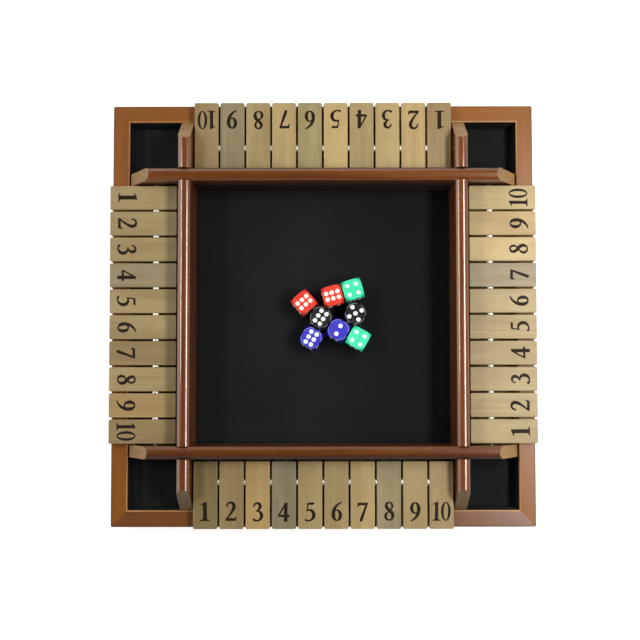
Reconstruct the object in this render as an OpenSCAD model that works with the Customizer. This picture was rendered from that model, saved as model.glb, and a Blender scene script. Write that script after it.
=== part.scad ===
// Four-sided shut the box game: a square wooden board with ten flip-down
// number tiles along each side, a felt-lined dice tray in the middle, four
// felt-lined corner pockets and eight dice.
// Millimetres. +Z up. Origin on the table under the centre of the board.
// -Y is the side nearest the viewer. Side 0 is south, 1 east, 2 north, 3 west.

/* [Board] */
// Outer width and length of the square frame
board_w = 305; // [303:1:309]
// Width of a frame side, seen from above
rim_w = 12; // [11:0.5:13]
// Height of the frame sides
frame_h = 18.3; // [17.5:0.1:19]
// Radius that eases the frame's upper edges
frame_ease = 0.9; // [0.4:0.1:1.5]
// Radius of the frame's outer corners, seen from above
corner_r = 1.6; // [0.5:0.1:3]
// Thickness of the base panel
base_t = 5; // [4:0.5:5.5]
// How far the base panel runs into the frame's rabbet
rabbet = 6; // [4:0.5:7]

/* [Felt and feet] */
// Thickness of the felt linings
felt_t = 1.5; // [1:0.1:1.8]
// Diameter of the pads under the board
foot_d = 14; // [10:1:18]
// Thickness of the pads under the board
foot_t = 1.5; // [1:0.1:2]
// Distance of the pads from the middle of the board
foot_off = 134; // [120:1:136]

/* [Rails] */
// Width of a rail
rail_w = 9; // [8.6:0.1:9.4]
// Distance from the middle of the board to a rail's centre line
rail_off = 98; // [97.6:0.1:98.4]
// Height of the rail tops above the frame
rail_rise = 17.3; // [16.8:0.1:18]
// Radius of the arc across the top of a rail
crown_r = 5.4; // [5.1:0.1:8]
// Radius that joins that arc to the rail's sides
shoulder_r = 0.8; // [0.4:0.1:1.2]
// Where the sloped end cut of an east-west rail starts, from the middle
cut_x = 122.6; // [122.5:0.1:126]
// Where the sloped end cut of a north-south rail starts, from the middle
cut_y = 123.7; // [122.5:0.1:126]
// Gap between the ends of the east-west rails and the frame
end_gap = 1; // [0.5:0.1:1.5]

/* [Tiles] */
// Width of a number tile
tile_w = 17.25; // [17:0.05:17.3]
// Spacing of the tiles along a row
tile_pitch = 18.64; // [18.6:0.01:18.66]
// Thickness of a number tile
tile_t = 5.2; // [5:0.1:5.4]
// Distance from the middle of the board to a tile's inner end
tile_in = 105; // [104.9:0.1:106]
// How far a tile's outer end stands past the frame
tile_over = 0.3; // [0:0.1:0.6]
// Radius that eases a tile's long edges
tile_ease = 0.6; // [0.3:0.1:0.9]
// Radius of a tile's corners, seen from above
tile_corner = 1.1; // [0.5:0.1:2]
// Gap between a flat tile and the frame under it
tile_gap = 0.05; // [0.03:0.01:0.1]

/* [Pivot rods] */
// Diameter of a pivot rod
rod_d = 3; // [2.6:0.1:3.2]
// Distance from the middle of the board to a rod's axis
rod_off = 120; // [119.9:0.1:120.2]
// Radial clearance of a rod in a tile
rod_play = 0.06; // [0.04:0.01:0.09]
// Radial clearance of a rod in a rail
rod_seat = 0.02; // [0.01:0.01:0.04]
// Diameter of the washers that keep the tiles apart
washer_d = 5; // [4.4:0.1:5.1]
// Gap between a washer and the tile on each side of it
washer_play = 0.05; // [0.03:0.01:0.1]

/* [Dice] */
// Edge of a die
die_e = 14.2; // [13.8:0.1:14.3]
// Radius of the flat circle left on each face of a die
die_face_r = 7.7; // [7.3:0.1:8.4]

/* [Hidden] */
$fn = 64;
side_names = ["south", "east", "north", "west"];

half = board_w / 2;
inner = half - rim_w;
z_base = foot_t;
z_floor = z_base + base_t;
z_felt = z_floor + felt_t;
z_frame = z_base + frame_h;
z_rail = z_frame + rail_rise;
z_lap = (z_floor + z_rail) / 2;
z_tile = z_frame + tile_gap;
z_rod = z_tile + tile_t / 2;
rail_a = rail_w / 2;
// rail profile: the shoulder arcs meet the crown arc smoothly
z_crown = z_rail - crown_r;
shoulder_x = rail_a - shoulder_r;
shoulder_up = sqrt(pow(crown_r - shoulder_r, 2) - pow(shoulder_x, 2));
z_shoulder = z_crown + shoulder_up;
// the dice as they lie: x, y, turn about Z
dice = [[-13.76, 8.87, 41], [6.82, 13.64, 15], [21.46, 18.11, 16], [25.35, -17.2, 61],
        [-8.58, -17.04, 60], [11.01, -11.15, 62], [-1.67, -2.07, 55.3], [23.3, 0.65, 70.8]];

// outline of width w and height h standing on the X axis, upper corners eased
module eased_outline(w, h, r) {
    square([w, h - r]);
    translate([r, 0]) square([w - 2 * r, h]);
    translate([r, h - r]) circle(r);
    translate([w - r, h - r]) circle(r);
}

// rectangle with four round corners, centred
module round_rect(w, l, r) {
    square([w, l - 2 * r], center = true);
    square([w - 2 * r, l], center = true);
    for (x = [-1, 1], y = [-1, 1])
        translate([x * (w / 2 - r), y * (l / 2 - r)]) circle(r);
}

// one mitred frame side with a rabbet for the base panel
module frame_side(i) {
    color([0.62, 0.40, 0.20])
    rotate([0, 0, 90 * i])
    intersection() {
        translate([-half, 0, 0])
        rotate([90, 0, 90])
        linear_extrude(board_w)
        difference() {
            translate([-half, z_base]) eased_outline(rim_w, frame_h, frame_ease);
            translate([-half + rim_w - rabbet - 0.05, z_base - 1]) square([rabbet + 1, base_t + 1.05]);
        }
        linear_extrude(z_frame + 1) polygon([[-half - 1, -half - 1], [half + 1, -half - 1], [0, 0]]);
        linear_extrude(z_frame + 1) round_rect(board_w, board_w, corner_r);
    }
}

module base_panel() {
    p = 2 * (inner + rabbet);
    color([0.55, 0.36, 0.20])
    translate([-p / 2, -p / 2, z_base]) cube([p, p, base_t]);
}

// the tray lining and the four corner pocket linings
module felt_linings() {
    t = 2 * (rail_off - rail_a) - 0.2;
    q = inner - rail_off - rail_a - 0.2;
    color([0.07, 0.075, 0.08]) {
        translate([-t / 2, -t / 2, z_floor]) cube([t, t, felt_t]);
        for (x = [-1, 1], y = [-1, 1])
            translate([x * (rail_off + rail_a + 0.1 + q / 2), y * (rail_off + rail_a + 0.1 + q / 2), z_floor + felt_t / 2])
                cube([q, q, felt_t], center = true);
    }
}

module foot_pads() {
    color([0.12, 0.12, 0.12])
    for (x = [-1, 1], y = [-1, 1])
        translate([x * foot_off, y * foot_off, 0]) cylinder(h = foot_t, d = foot_d);
}

// round-topped cross-section of a rail, standing on the base panel
module rail_outline() {
    translate([-rail_a, z_floor]) square([rail_w, z_shoulder - z_floor]);
    for (x = [-1, 1]) translate([x * shoulder_x, z_shoulder]) circle(shoulder_r);
    intersection() {
        translate([0, z_crown]) circle(crown_r);
        polygon([[0, z_crown], [3 * shoulder_x, z_crown + 3 * shoulder_up],
                 [-3 * shoulder_x, z_crown + 3 * shoulder_up]]);
    }
}

// a rail along X, of half length len, whose end cut starts at cut
module rail_bar(len, cut, foot) {
    intersection() {
        translate([-len, 0, 0]) rotate([90, 0, 90]) linear_extrude(2 * len) rail_outline();
        translate([0, rail_w, 0]) rotate([90, 0, 0]) linear_extrude(2 * rail_w)
            polygon([[-len, z_floor], [len, z_floor], [len, foot], [cut, z_rail + 0.001],
                     [-cut, z_rail + 0.001], [-len, foot]]);
    }
}

// east-west rails run over the others at the corner laps
module rail_ew(s) {
    color([0.50, 0.22, 0.12])
    translate([0, s * rail_off, 0])
    difference() {
        rail_bar(inner - end_gap, cut_x, z_frame - 0.6);
        for (x = [-1, 1]) {
            translate([x * rail_off - rail_a - 0.04, -rail_w, z_floor - 1])
                cube([rail_w + 0.08, 2 * rail_w, z_lap - z_floor + 1.03]);
            translate([x * rod_off, rail_w, z_rod]) rotate([90, 0, 0])
                cylinder(h = 2 * rail_w, r = rod_d / 2 + rod_seat);
        }
    }
}

module rail_ns(s) {
    color([0.47, 0.20, 0.11])
    translate([s * rail_off, 0, 0])
    rotate([0, 0, 90])
    difference() {
        rail_bar(inner - 0.02, cut_y, z_frame - 0.05);
        for (x = [-1, 1]) {
            translate([x * rail_off - rail_a - 0.04, -rail_w, z_lap])
                cube([rail_w + 0.08, 2 * rail_w, z_rail - z_lap + 1]);
            translate([x * rod_off, rail_w, z_rod]) rotate([90, 0, 0])
                cylinder(h = 2 * rail_w, r = rod_d / 2 + rod_seat);
        }
    }
}

// one rod under each row, from rail face to rail face, and the washers between its tiles
module rods_and_washers() {
    l = 2 * (rail_off + rail_a) - 0.2;
    t = tile_pitch - tile_w - 2 * washer_play;
    color([0.80, 0.80, 0.82])
    for (i = [0 : 3])
        rotate([0, 0, 90 * i])
        translate([0, -rod_off, z_rod]) rotate([0, 90, 0]) {
            translate([0, 0, -l / 2]) cylinder(h = l, d = rod_d);
            for (k = [-4 : 4])
                translate([0, 0, k * tile_pitch - t / 2])
                difference() {
                    cylinder(h = t, d = washer_d);
                    translate([0, 0, -1]) cylinder(h = t + 2, r = rod_d / 2 + rod_play);
                }
        }
}

// number tile n of side i, lying flat on the frame
module tile(i, n) {
    l = half + tile_over - tile_in;
    x = (n - 5.5) * tile_pitch;
    color([0.66, 0.57, 0.38])
    rotate([0, 0, 90 * i])
    translate([x, 0, 0])
    difference() {
        intersection() {
            translate([0, -tile_in - l / 2, z_tile]) linear_extrude(tile_t) round_rect(tile_w, l, tile_corner);
            translate([0, -tile_in + 1, z_tile + tile_t / 2]) rotate([90, 0, 0])
                linear_extrude(l + 2) round_rect(tile_w, tile_t, tile_ease);
        }
        translate([-tile_w, -rod_off, z_rod]) rotate([0, 90, 0])
            cylinder(h = 2 * tile_w, r = rod_d / 2 + rod_play);
    }
}

// a cube whose corners and edges are taken off by a sphere
module die(k, c) {
    color(c)
    translate([dice[k][0], dice[k][1], z_felt + 0.05 + die_e / 2])
    rotate([0, 0, dice[k][2]])
    intersection() {
        cube(die_e, center = true);
        sphere(r = sqrt(pow(die_e / 2, 2) + pow(die_face_r, 2)));
    }
}

frame_side(0);  // frame_south
frame_side(1);  // frame_east
frame_side(2);  // frame_north
frame_side(3);  // frame_west
base_panel();
felt_linings();
foot_pads();
rail_ew(-1);  // rail_south
rail_ew(1);  // rail_north
rail_ns(1);  // rail_east
rail_ns(-1);  // rail_west
rods_and_washers();
tile(0, 1);  // tile_south_01
tile(0, 2);  // tile_south_02
tile(0, 3);  // tile_south_03
tile(0, 4);  // tile_south_04
tile(0, 5);  // tile_south_05
tile(0, 6);  // tile_south_06
tile(0, 7);  // tile_south_07
tile(0, 8);  // tile_south_08
tile(0, 9);  // tile_south_09
tile(0, 10);  // tile_south_10
tile(1, 1);  // tile_east_01
tile(1, 2);  // tile_east_02
tile(1, 3);  // tile_east_03
tile(1, 4);  // tile_east_04
tile(1, 5);  // tile_east_05
tile(1, 6);  // tile_east_06
tile(1, 7);  // tile_east_07
tile(1, 8);  // tile_east_08
tile(1, 9);  // tile_east_09
tile(1, 10);  // tile_east_10
tile(2, 1);  // tile_north_01
tile(2, 2);  // tile_north_02
tile(2, 3);  // tile_north_03
tile(2, 4);  // tile_north_04
tile(2, 5);  // tile_north_05
tile(2, 6);  // tile_north_06
tile(2, 7);  // tile_north_07
tile(2, 8);  // tile_north_08
tile(2, 9);  // tile_north_09
tile(2, 10);  // tile_north_10
tile(3, 1);  // tile_west_01
tile(3, 2);  // tile_west_02
tile(3, 3);  // tile_west_03
tile(3, 4);  // tile_west_04
tile(3, 5);  // tile_west_05
tile(3, 6);  // tile_west_06
tile(3, 7);  // tile_west_07
tile(3, 8);  // tile_west_08
tile(3, 9);  // tile_west_09
tile(3, 10);  // tile_west_10
die(0, [0.85, 0.20, 0.15]);  // die_red_a
die(1, [0.85, 0.20, 0.15]);  // die_red_b
die(2, [0.25, 0.90, 0.65]);  // die_green_a
die(3, [0.25, 0.90, 0.65]);  // die_green_b
die(4, [0.20, 0.20, 0.75]);  // die_blue_a
die(5, [0.20, 0.20, 0.75]);  // die_blue_b
die(6, [0.06, 0.06, 0.07]);  // die_black_a
die(7, [0.06, 0.06, 0.07]);  // die_black_b
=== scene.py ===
import math
import random

import bmesh
import bpy
import numpy as np
from mathutils import Matrix, Vector


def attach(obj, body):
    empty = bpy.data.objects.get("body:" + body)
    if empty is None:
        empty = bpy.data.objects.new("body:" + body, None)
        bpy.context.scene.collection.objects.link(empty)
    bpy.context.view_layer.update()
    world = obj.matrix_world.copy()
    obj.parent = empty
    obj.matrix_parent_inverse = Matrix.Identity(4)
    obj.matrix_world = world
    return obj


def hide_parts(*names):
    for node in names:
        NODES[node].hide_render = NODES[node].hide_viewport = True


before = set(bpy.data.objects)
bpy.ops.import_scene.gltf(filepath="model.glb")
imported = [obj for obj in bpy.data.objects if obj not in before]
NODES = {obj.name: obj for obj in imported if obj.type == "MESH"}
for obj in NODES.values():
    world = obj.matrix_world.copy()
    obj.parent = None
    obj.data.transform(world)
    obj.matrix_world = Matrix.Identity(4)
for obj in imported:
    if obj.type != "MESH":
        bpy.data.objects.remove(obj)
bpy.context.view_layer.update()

SIDES = ["south", "east", "north", "west"]
MM = 0.001

# ---------------------------------------------------------------- dimensions, in mm, as in the CAD
BOARD = 305.0
INNER = 140.5
Z_FLOOR = 6.5
Z_FELT = 8.0
Z_FRAME = 19.8
Z_RAIL = 37.1
RAIL_OFF, RAIL_W = 98.0, 9.0
PITCH, TILE_W, TILE_TOP = 18.64, 17.25, 25.05
DIE_E, DIE_FACE = 14.2, 7.7
DICE = {
    "die_red_a": (-13.76, 8.87, 41.0), "die_red_b": (6.82, 13.64, 15.0),
    "die_green_a": (21.46, 18.11, 16.0), "die_green_b": (25.35, -17.2, 61.0),
    "die_blue_a": (-8.58, -17.04, 60.0), "die_blue_b": (11.01, -11.15, 62.0),
    "die_black_a": (-1.67, -2.07, 55.3), "die_black_b": (23.3, 0.65, 70.8),
}


# ---------------------------------------------------------------- node helpers
class Mat:
    """A Principled material and short calls for the nodes that feed it."""

    def __init__(self, name, shifted=False, **values):
        self.shifted = shifted
        self.origin = None
        self.m = bpy.data.materials.new(name)
        self.m.use_nodes = True
        self.t = self.m.node_tree
        self.t.nodes.clear()
        out = self.t.nodes.new("ShaderNodeOutputMaterial")
        self.b = self.t.nodes.new("ShaderNodeBsdfPrincipled")
        self.t.links.new(self.b.outputs["BSDF"], out.inputs["Surface"])
        for k, v in values.items():
            self.set(k, v)

    def set(self, key, value):
        socket = self.b.inputs[key]
        if isinstance(value, bpy.types.NodeSocket):
            self.t.links.new(value, socket)
        elif hasattr(value, "__len__"):
            socket.default_value = tuple(value) + ((1.0,) if len(value) == 3 and len(socket.default_value) == 4 else ())
        else:
            socket.default_value = value

    def add(self, kind, **props):
        n = self.t.nodes.new(kind)
        for k, v in props.items():
            setattr(n, k, v)
        return n

    def put(self, socket, value):
        if isinstance(value, bpy.types.NodeSocket):
            self.t.links.new(value, socket)
        elif hasattr(value, "__len__") and len(value) == 3 and len(socket.default_value) == 4:
            socket.default_value = (*value, 1.0)
        else:
            socket.default_value = value

    def position(self):
        """The point in the part's frame, moved by the piece's own grain_shift where it has one."""
        if self.origin is None:
            self.origin = self.add("ShaderNodeTexCoord").outputs["Object"]
            if self.shifted:
                at = self.add("ShaderNodeAttribute", attribute_name="grain_shift")
                vm = self.add("ShaderNodeVectorMath", operation="ADD")
                self.t.links.new(self.origin, vm.inputs[0])
                self.t.links.new(at.outputs["Vector"], vm.inputs[1])
                self.origin = vm.outputs["Vector"]
        return self.origin

    def part(self, k):
        """One coordinate of the point: 0, 1 or 2."""
        n = self.add("ShaderNodeSeparateXYZ")
        self.t.links.new(self.position(), n.inputs[0])
        return n.outputs[k]

    def coords(self, scale=(1, 1, 1), offset=(0, 0, 0)):
        mp = self.add("ShaderNodeMapping")
        mp.inputs["Scale"].default_value = scale
        mp.inputs["Location"].default_value = offset
        self.t.links.new(self.position(), mp.inputs["Vector"])
        return mp.outputs["Vector"]

    def noise(self, vector, scale=1.0, detail=4.0, rough=0.55, distortion=0.0):
        n = self.add("ShaderNodeTexNoise")
        self.t.links.new(vector, n.inputs["Vector"])
        n.inputs["Scale"].default_value = scale
        n.inputs["Detail"].default_value = detail
        n.inputs["Roughness"].default_value = rough
        n.inputs["Distortion"].default_value = distortion
        return n.outputs["Fac"]

    def voronoi(self, vector, scale=1.0, feature="F1"):
        n = self.add("ShaderNodeTexVoronoi", feature=feature)
        self.t.links.new(vector, n.inputs["Vector"])
        n.inputs["Scale"].default_value = scale
        return n.outputs["Distance"]

    def math(self, op, a, b=0.0, clamp=False):
        n = self.add("ShaderNodeMath", operation=op, use_clamp=clamp)
        self.put(n.inputs[0], a)
        if op not in ("ABSOLUTE", "SQRT", "SINE", "FRACT"):
            self.put(n.inputs[1], b)
        return n.outputs[0]

    def span(self, value, lo, hi, to_lo=0.0, to_hi=1.0, smooth=True):
        n = self.add("ShaderNodeMapRange", clamp=True)
        n.interpolation_type = "SMOOTHSTEP" if smooth else "LINEAR"
        self.put(n.inputs["Value"], value)
        n.inputs["From Min"].default_value = lo
        n.inputs["From Max"].default_value = hi
        n.inputs["To Min"].default_value = to_lo
        n.inputs["To Max"].default_value = to_hi
        return n.outputs["Result"]

    def mix(self, fac, a, b, mode="MIX"):
        n = self.add("ShaderNodeMix", data_type="RGBA", blend_type=mode)
        self.put(n.inputs[0], fac)
        self.put(n.inputs[6], a)
        self.put(n.inputs[7], b)
        return n.outputs[2]

    def bump(self, height, distance, strength=1.0, normal=None):
        n = self.add("ShaderNodeBump")
        n.inputs["Distance"].default_value = distance
        n.inputs["Strength"].default_value = strength
        self.t.links.new(height, n.inputs["Height"])
        if normal is not None:
            self.t.links.new(normal, n.inputs["Normal"])
        return n.outputs["Normal"]


def along(axis, fine, coarse):
    """Scale that is coarse along the grain's axis and fine across it."""
    return (coarse, fine, fine) if axis == "x" else (fine, coarse, fine)


def wood(name, axis, dark, mid, light, pore, rough=(0.3, 0.42), coat=0.0, coat_rough=0.15,
         streak=1.0, pores=1.0, offset=(0, 0, 0), specular=0.5, bump=1.0, drift=1.0, shifted=False, soft=1.0, shades=()):
    """Planed wood: slow colour drift, growth bands and fibre along the axis, and short dark pores. Each of shades
    paints shade: over a span of height or of distance from the centre line the colour goes towards near black, and the
    specular and coat fade with it.
    """
    m = Mat(name, shifted)
    slow = m.noise(m.coords(along(axis, 34, 12), offset), 1.0, 3, 0.5, 0.5)
    cloud = m.noise(m.coords((95, 95, 95), offset), 1.0, 3, 0.55, 0.3)
    band = m.noise(m.coords(along(axis, 230, 8), offset), 1.0, 4, 0.55, 0.9)
    fibre = m.noise(m.coords(along(axis, 1700, 30), offset), 1.0, 5, 0.62, 0.15)
    pore_n = m.noise(m.coords(along(axis, 3600, 170), offset), 1.0, 2, 0.5)
    pore_mask = m.span(pore_n, 0.62, 0.76)
    c = m.mix(m.span(slow, 0.32, 0.68), dark, mid)
    c = m.mix(m.math("MULTIPLY", m.span(band, 0.38, 0.72), 0.62 * drift), c, light)
    c = m.mix(m.math("MULTIPLY", m.span(cloud, 0.42, 0.78), 0.40 * soft), c, dark)
    c = m.mix(m.math("MULTIPLY", m.span(fibre, 0.42, 0.74), 0.34 * streak), c, pore)
    c = m.mix(m.math("MULTIPLY", pore_mask, 0.45 * pores), c, pore)
    height = m.math("SUBTRACT", m.math("MULTIPLY", fibre, 0.35), m.math("MULTIPLY", pore_mask, 0.8))
    peel = m.noise(m.coords((240, 240, 240), offset), 1.0, 2, 0.5)
    m.set("Roughness", m.span(m.math("ADD", m.math("MULTIPLY", fibre, 0.6), m.math("MULTIPLY", peel, 0.4)), 0.3, 0.7, *rough))
    m.set("Specular IOR Level", specular)
    n = m.bump(height, 0.00003 * bump, 0.5)
    m.set("Normal", m.bump(peel, 0.00008 * bump, 0.3, n))
    # painted shade: each zone (k, lo, hi, deep) darkens the colour by up to deep towards near black and dims specular
    # and coat, by height for k = 2 and by distance from the centre line for k = 0 or 1
    for k, lo, hi, deep in shades:
        at = m.part(k) if k == 2 else m.math("ABSOLUTE", m.part(k))
        fade = m.span(at, lo, hi, deep, 0.0)
        c = m.mix(fade, c, (0.0250, 0.0205, 0.0185))
        specular = m.math("MULTIPLY", m.math("SUBTRACT", 1.0, fade), specular)
        m.set("Specular IOR Level", specular)
        if coat:
            coat = m.math("MULTIPLY", m.math("SUBTRACT", 1.0, fade), coat)
    if coat:
        m.set("Coat Weight", coat)
        m.set("Coat Roughness", coat_rough)
        m.set("Coat IOR", 1.58)
        m.set("Coat Normal", m.bump(peel, 0.00002 * bump, 0.2))
    m.set("Base Color", c)
    return m


# ---------------------------------------------------------------- mesh helpers
def new_object(name, mesh, body, slot, *materials):
    o = bpy.data.objects.new(name, mesh)
    bpy.context.scene.collection.objects.link(o)
    for mat in materials:
        o.data.materials.append(mat.m)
    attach(o, body)
    return o


def finish_mesh(o, angle=40.0, weighted=True):
    o.data.polygons.foreach_set("use_smooth", [True] * len(o.data.polygons))
    o.data.set_sharp_from_angle(angle=math.radians(angle))
    if weighted:
        w = o.modifiers.new("even_normals", "WEIGHTED_NORMAL")
        w.keep_sharp = True
        w.weight = 80


def eased_mesh(node, name, width, segments=3, over=28.0, face_index=None, edge_slot=-1, keep=None):
    """A node's mesh with its sharp edges rounded. face_index(face) gives each flat face's material."""
    bm = bmesh.new()
    bm.from_mesh(NODES[node].data)
    bmesh.ops.remove_doubles(bm, verts=bm.verts, dist=2e-6)
    bmesh.ops.dissolve_limit(bm, angle_limit=math.radians(0.6), verts=bm.verts, edges=bm.edges,
                             use_dissolve_boundaries=False, delimit={"NORMAL"})
    bm.normal_update()
    edges = [e for e in bm.edges if e.is_manifold and e.calc_face_angle(0) > math.radians(over)
             and (keep is None or keep(e))]
    if face_index:
        for f in bm.faces:
            f.material_index = face_index(f)
    bmesh.ops.bevel(bm, geom=edges, offset=width * MM, offset_type="OFFSET", segments=segments, profile=0.55,
                    affect="EDGES", clamp_overlap=True, material=edge_slot, loop_slide=True)
    bmesh.ops.remove_doubles(bm, verts=bm.verts, dist=1e-6)
    me = bpy.data.meshes.new(name)
    bm.to_mesh(me)
    bm.free()
    return me


def eased_copy(node, name, body, slot, materials, width, segments=3, **more):
    o = new_object(name, eased_mesh(node, name, width, segments, **more), body, slot, *materials)
    finish_mesh(o)
    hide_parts(node)
    return o


def lattice(seed, n):
    return np.random.RandomState(seed).rand(n, n)


def value_noise(x, y, cell, seed):
    """Smooth repeatable noise on arrays x, y, one lump per cell."""
    g = lattice(seed, 64)
    u, v = x / cell, y / cell
    i, j = np.floor(u).astype(int), np.floor(v).astype(int)
    fu, fv = u - i, v - j
    fu, fv = fu * fu * (3 - 2 * fu), fv * fv * (3 - 2 * fv)
    a, b = g[i % 64, j % 64], g[(i + 1) % 64, j % 64]
    c, d = g[i % 64, (j + 1) % 64], g[(i + 1) % 64, (j + 1) % 64]
    return (a * (1 - fu) + b * fu) * (1 - fv) + (c * (1 - fu) + d * fu) * fv


# ---------------------------------------------------------------- materials
FRAME_DARK, FRAME_MID, FRAME_LIGHT, FRAME_PORE = (0.205, 0.071, 0.0125), (0.242, 0.087, 0.0168), (0.286, 0.111, 0.024), (0.162, 0.052, 0.009)
RAIL_DARK, RAIL_MID, RAIL_LIGHT, RAIL_PORE = (0.100, 0.026, 0.0055), (0.148, 0.041, 0.0085), (0.205, 0.064, 0.014), (0.062, 0.016, 0.0035)
CUT_DARK, CUT_MID, CUT_LIGHT, CUT_PORE = (0.205, 0.112, 0.040), (0.278, 0.160, 0.060), (0.342, 0.213, 0.089), (0.142, 0.072, 0.025)

frame_mats = {a: wood(f"frame_wood_{a}", a, FRAME_DARK, FRAME_MID, FRAME_LIGHT, FRAME_PORE, rough=(0.32, 0.40),
                      streak=0.4, pores=0.35, offset=(1.3, 2.1, 0.4), specular=0.34, bump=0.6, drift=0.8) for a in "xy"}
# tops of the south and west frame sides: darker copies of the frame wood, painted shade on the sides turned away from
# the lights
front_shaded_mat = wood("frame_wood_front_shaded", "x", *((r * 0.66, g * 0.58, b * 0.45) for r, g, b in (FRAME_DARK, FRAME_MID, FRAME_LIGHT, FRAME_PORE)),
                 rough=(0.31, 0.39), streak=0.4, pores=0.35, offset=(1.3, 2.1, 0.4), specular=1.0, bump=0.6, drift=0.8)
left_shaded_mat = wood("frame_wood_left_shaded", "y", *((r * 0.93, g * 0.83, b * 0.62) for r, g, b in (FRAME_DARK, FRAME_MID, FRAME_LIGHT, FRAME_PORE)),
                rough=(0.32, 0.40), streak=0.4, pores=0.35, offset=(1.3, 2.1, 0.4), specular=0.34, bump=0.6, drift=0.8)
# the rounded outer edge: a much darker copy of the frame wood, a painted line of shade
frame_rim_shade = {a: wood(f"frame_rim_shade_{a}", a, *(tuple(v * 0.36 for v in c) for c in (FRAME_DARK, FRAME_MID, FRAME_LIGHT, FRAME_PORE)),
                     rough=(0.36, 0.46), streak=0.4, pores=0.35, offset=(1.3, 2.1, 0.4), specular=0.3, bump=0.6) for a in "xy"}
# the rounded edge round the pockets: light wood, partly wear and partly a painted highlight
frame_edge_worn_lit = {a: wood(f"frame_edge_worn_lit_{a}", a, (0.44, 0.21, 0.070), (0.52, 0.27, 0.100), (0.60, 0.33, 0.135), (0.33, 0.15, 0.048),
                      rough=(0.30, 0.40), streak=0.5, pores=0.3, offset=(5.3, 1.1, 3.4), bump=0.6) for a in "xy"}
# rails: the shades zones are painted shade, darker low on the inner walls and in a thin strip along the outer edge; the
# north rail's inner wall darkens from higher up
rail_mats = {a: wood(f"rail_wood_{a}", a, RAIL_DARK, RAIL_MID, RAIL_LIGHT, RAIL_PORE, rough=(0.30, 0.38), coat=1.0,
                     coat_rough=0.155, streak=0.6, pores=0.4, offset=(4.2, 0.7, 1.9), specular=0.45, bump=0.4,
                     shades=((2, 0.0060, 0.0230, 0.7), (0, 0.1023, 0.1015, 0.95))) for a in "xy"}
rail_mats["north"] = wood("rail_wood_north", "x", RAIL_DARK, RAIL_MID, RAIL_LIGHT, RAIL_PORE, rough=(0.30, 0.38), coat=0.8,
                          coat_rough=0.13, streak=0.6, pores=0.4, offset=(4.2, 0.7, 1.9), specular=0.45, bump=0.4,
                          shades=((2, 0.0195, 0.0365, 0.97), (1, 0.1020, 0.1009, 0.95)))
# the south rail: a darker copy of the rail wood, painted shade, and darker still towards its south side, also painted
# shade
rail_front_shaded = wood("rail_wood_front_shaded", "x", *(tuple(v * 0.70 for v in c) for c in (RAIL_DARK, RAIL_MID, RAIL_LIGHT, RAIL_PORE)),
                  rough=(0.34, 0.42), coat=0.7, coat_rough=0.14, streak=0.6, pores=0.4, offset=(6.2, 2.7, 3.9), specular=0.3, bump=0.4,
                  shades=((1, 0.1032, 0.0975, 0.85),))
for m in (*rail_mats.values(), rail_front_shaded):
    m.set("Specular Tint", (1.0, 0.66, 0.46))
rail_mats["y"].set("Coat IOR", 1.68)
rail_cut = {a: wood(f"rail_cut_{a}", a, CUT_DARK, CUT_MID, CUT_LIGHT, CUT_PORE, rough=(0.42, 0.56),
                    specular=0.3, streak=0.8, pores=0.8, offset=(9.2, 3.7, 0.9)) for a in "xy"}
# the south ends of the north-south rails: a darker copy of the cut end wood, painted shade
rail_cut_south_shaded = wood("rail_cut_south_shaded", "y", *(tuple(v * 0.47 for v in c) for c in (CUT_DARK, CUT_MID, CUT_LIGHT, CUT_PORE)),
                      rough=(0.42, 0.56), specular=0.3, streak=0.8, pores=0.8, offset=(9.2, 3.7, 0.9))
base_mat = wood("base_wood", "x", (0.26, 0.14, 0.06), (0.36, 0.21, 0.10), (0.46, 0.29, 0.15), (0.18, 0.09, 0.04),
                rough=(0.5, 0.65), streak=1.0, pores=1.0, offset=(3, 8, 2))

# tile stains: name -> dark, mid, light, pore
STAINS = {
    "khaki": ((0.270, 0.190, 0.082), (0.345, 0.255, 0.115), (0.415, 0.320, 0.155), (0.19, 0.125, 0.050)),
    "gold": ((0.315, 0.205, 0.078), (0.395, 0.272, 0.108), (0.465, 0.340, 0.148), (0.22, 0.132, 0.045)),
    "straw": ((0.360, 0.250, 0.105), (0.445, 0.325, 0.142), (0.520, 0.400, 0.190), (0.25, 0.160, 0.060)),
    "olive": ((0.240, 0.190, 0.082), (0.310, 0.248, 0.112), (0.375, 0.308, 0.150), (0.16, 0.120, 0.048)),
    "grey": ((0.212, 0.165, 0.086), (0.280, 0.224, 0.122), (0.345, 0.282, 0.160), (0.14, 0.104, 0.050)),
    "brown": ((0.230, 0.155, 0.068), (0.300, 0.210, 0.095), (0.365, 0.268, 0.130), (0.15, 0.095, 0.038)),
    "wheat": ((0.315, 0.220, 0.094), (0.395, 0.290, 0.128), (0.467, 0.360, 0.172), (0.22, 0.142, 0.055)),
    "slate": ((0.165, 0.138, 0.080), (0.225, 0.190, 0.114), (0.280, 0.240, 0.150), (0.11, 0.088, 0.048)),
    "umber": ((0.165, 0.118, 0.048), (0.220, 0.162, 0.070), (0.275, 0.210, 0.095), (0.11, 0.072, 0.028)),
}
tile_mats = {}
for i, (stain, cols) in enumerate(STAINS.items()):
    for a in "xy":
        tile_mats[stain, a] = wood(f"tile_{stain}_{a}", a, *cols, rough=(0.38, 0.50), streak=0.28, pores=0.3,
                                   offset=(2.7 * i, 1.1 * i, 5.0), specular=0.42, bump=0.6, drift=0.7, shifted=True)
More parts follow.
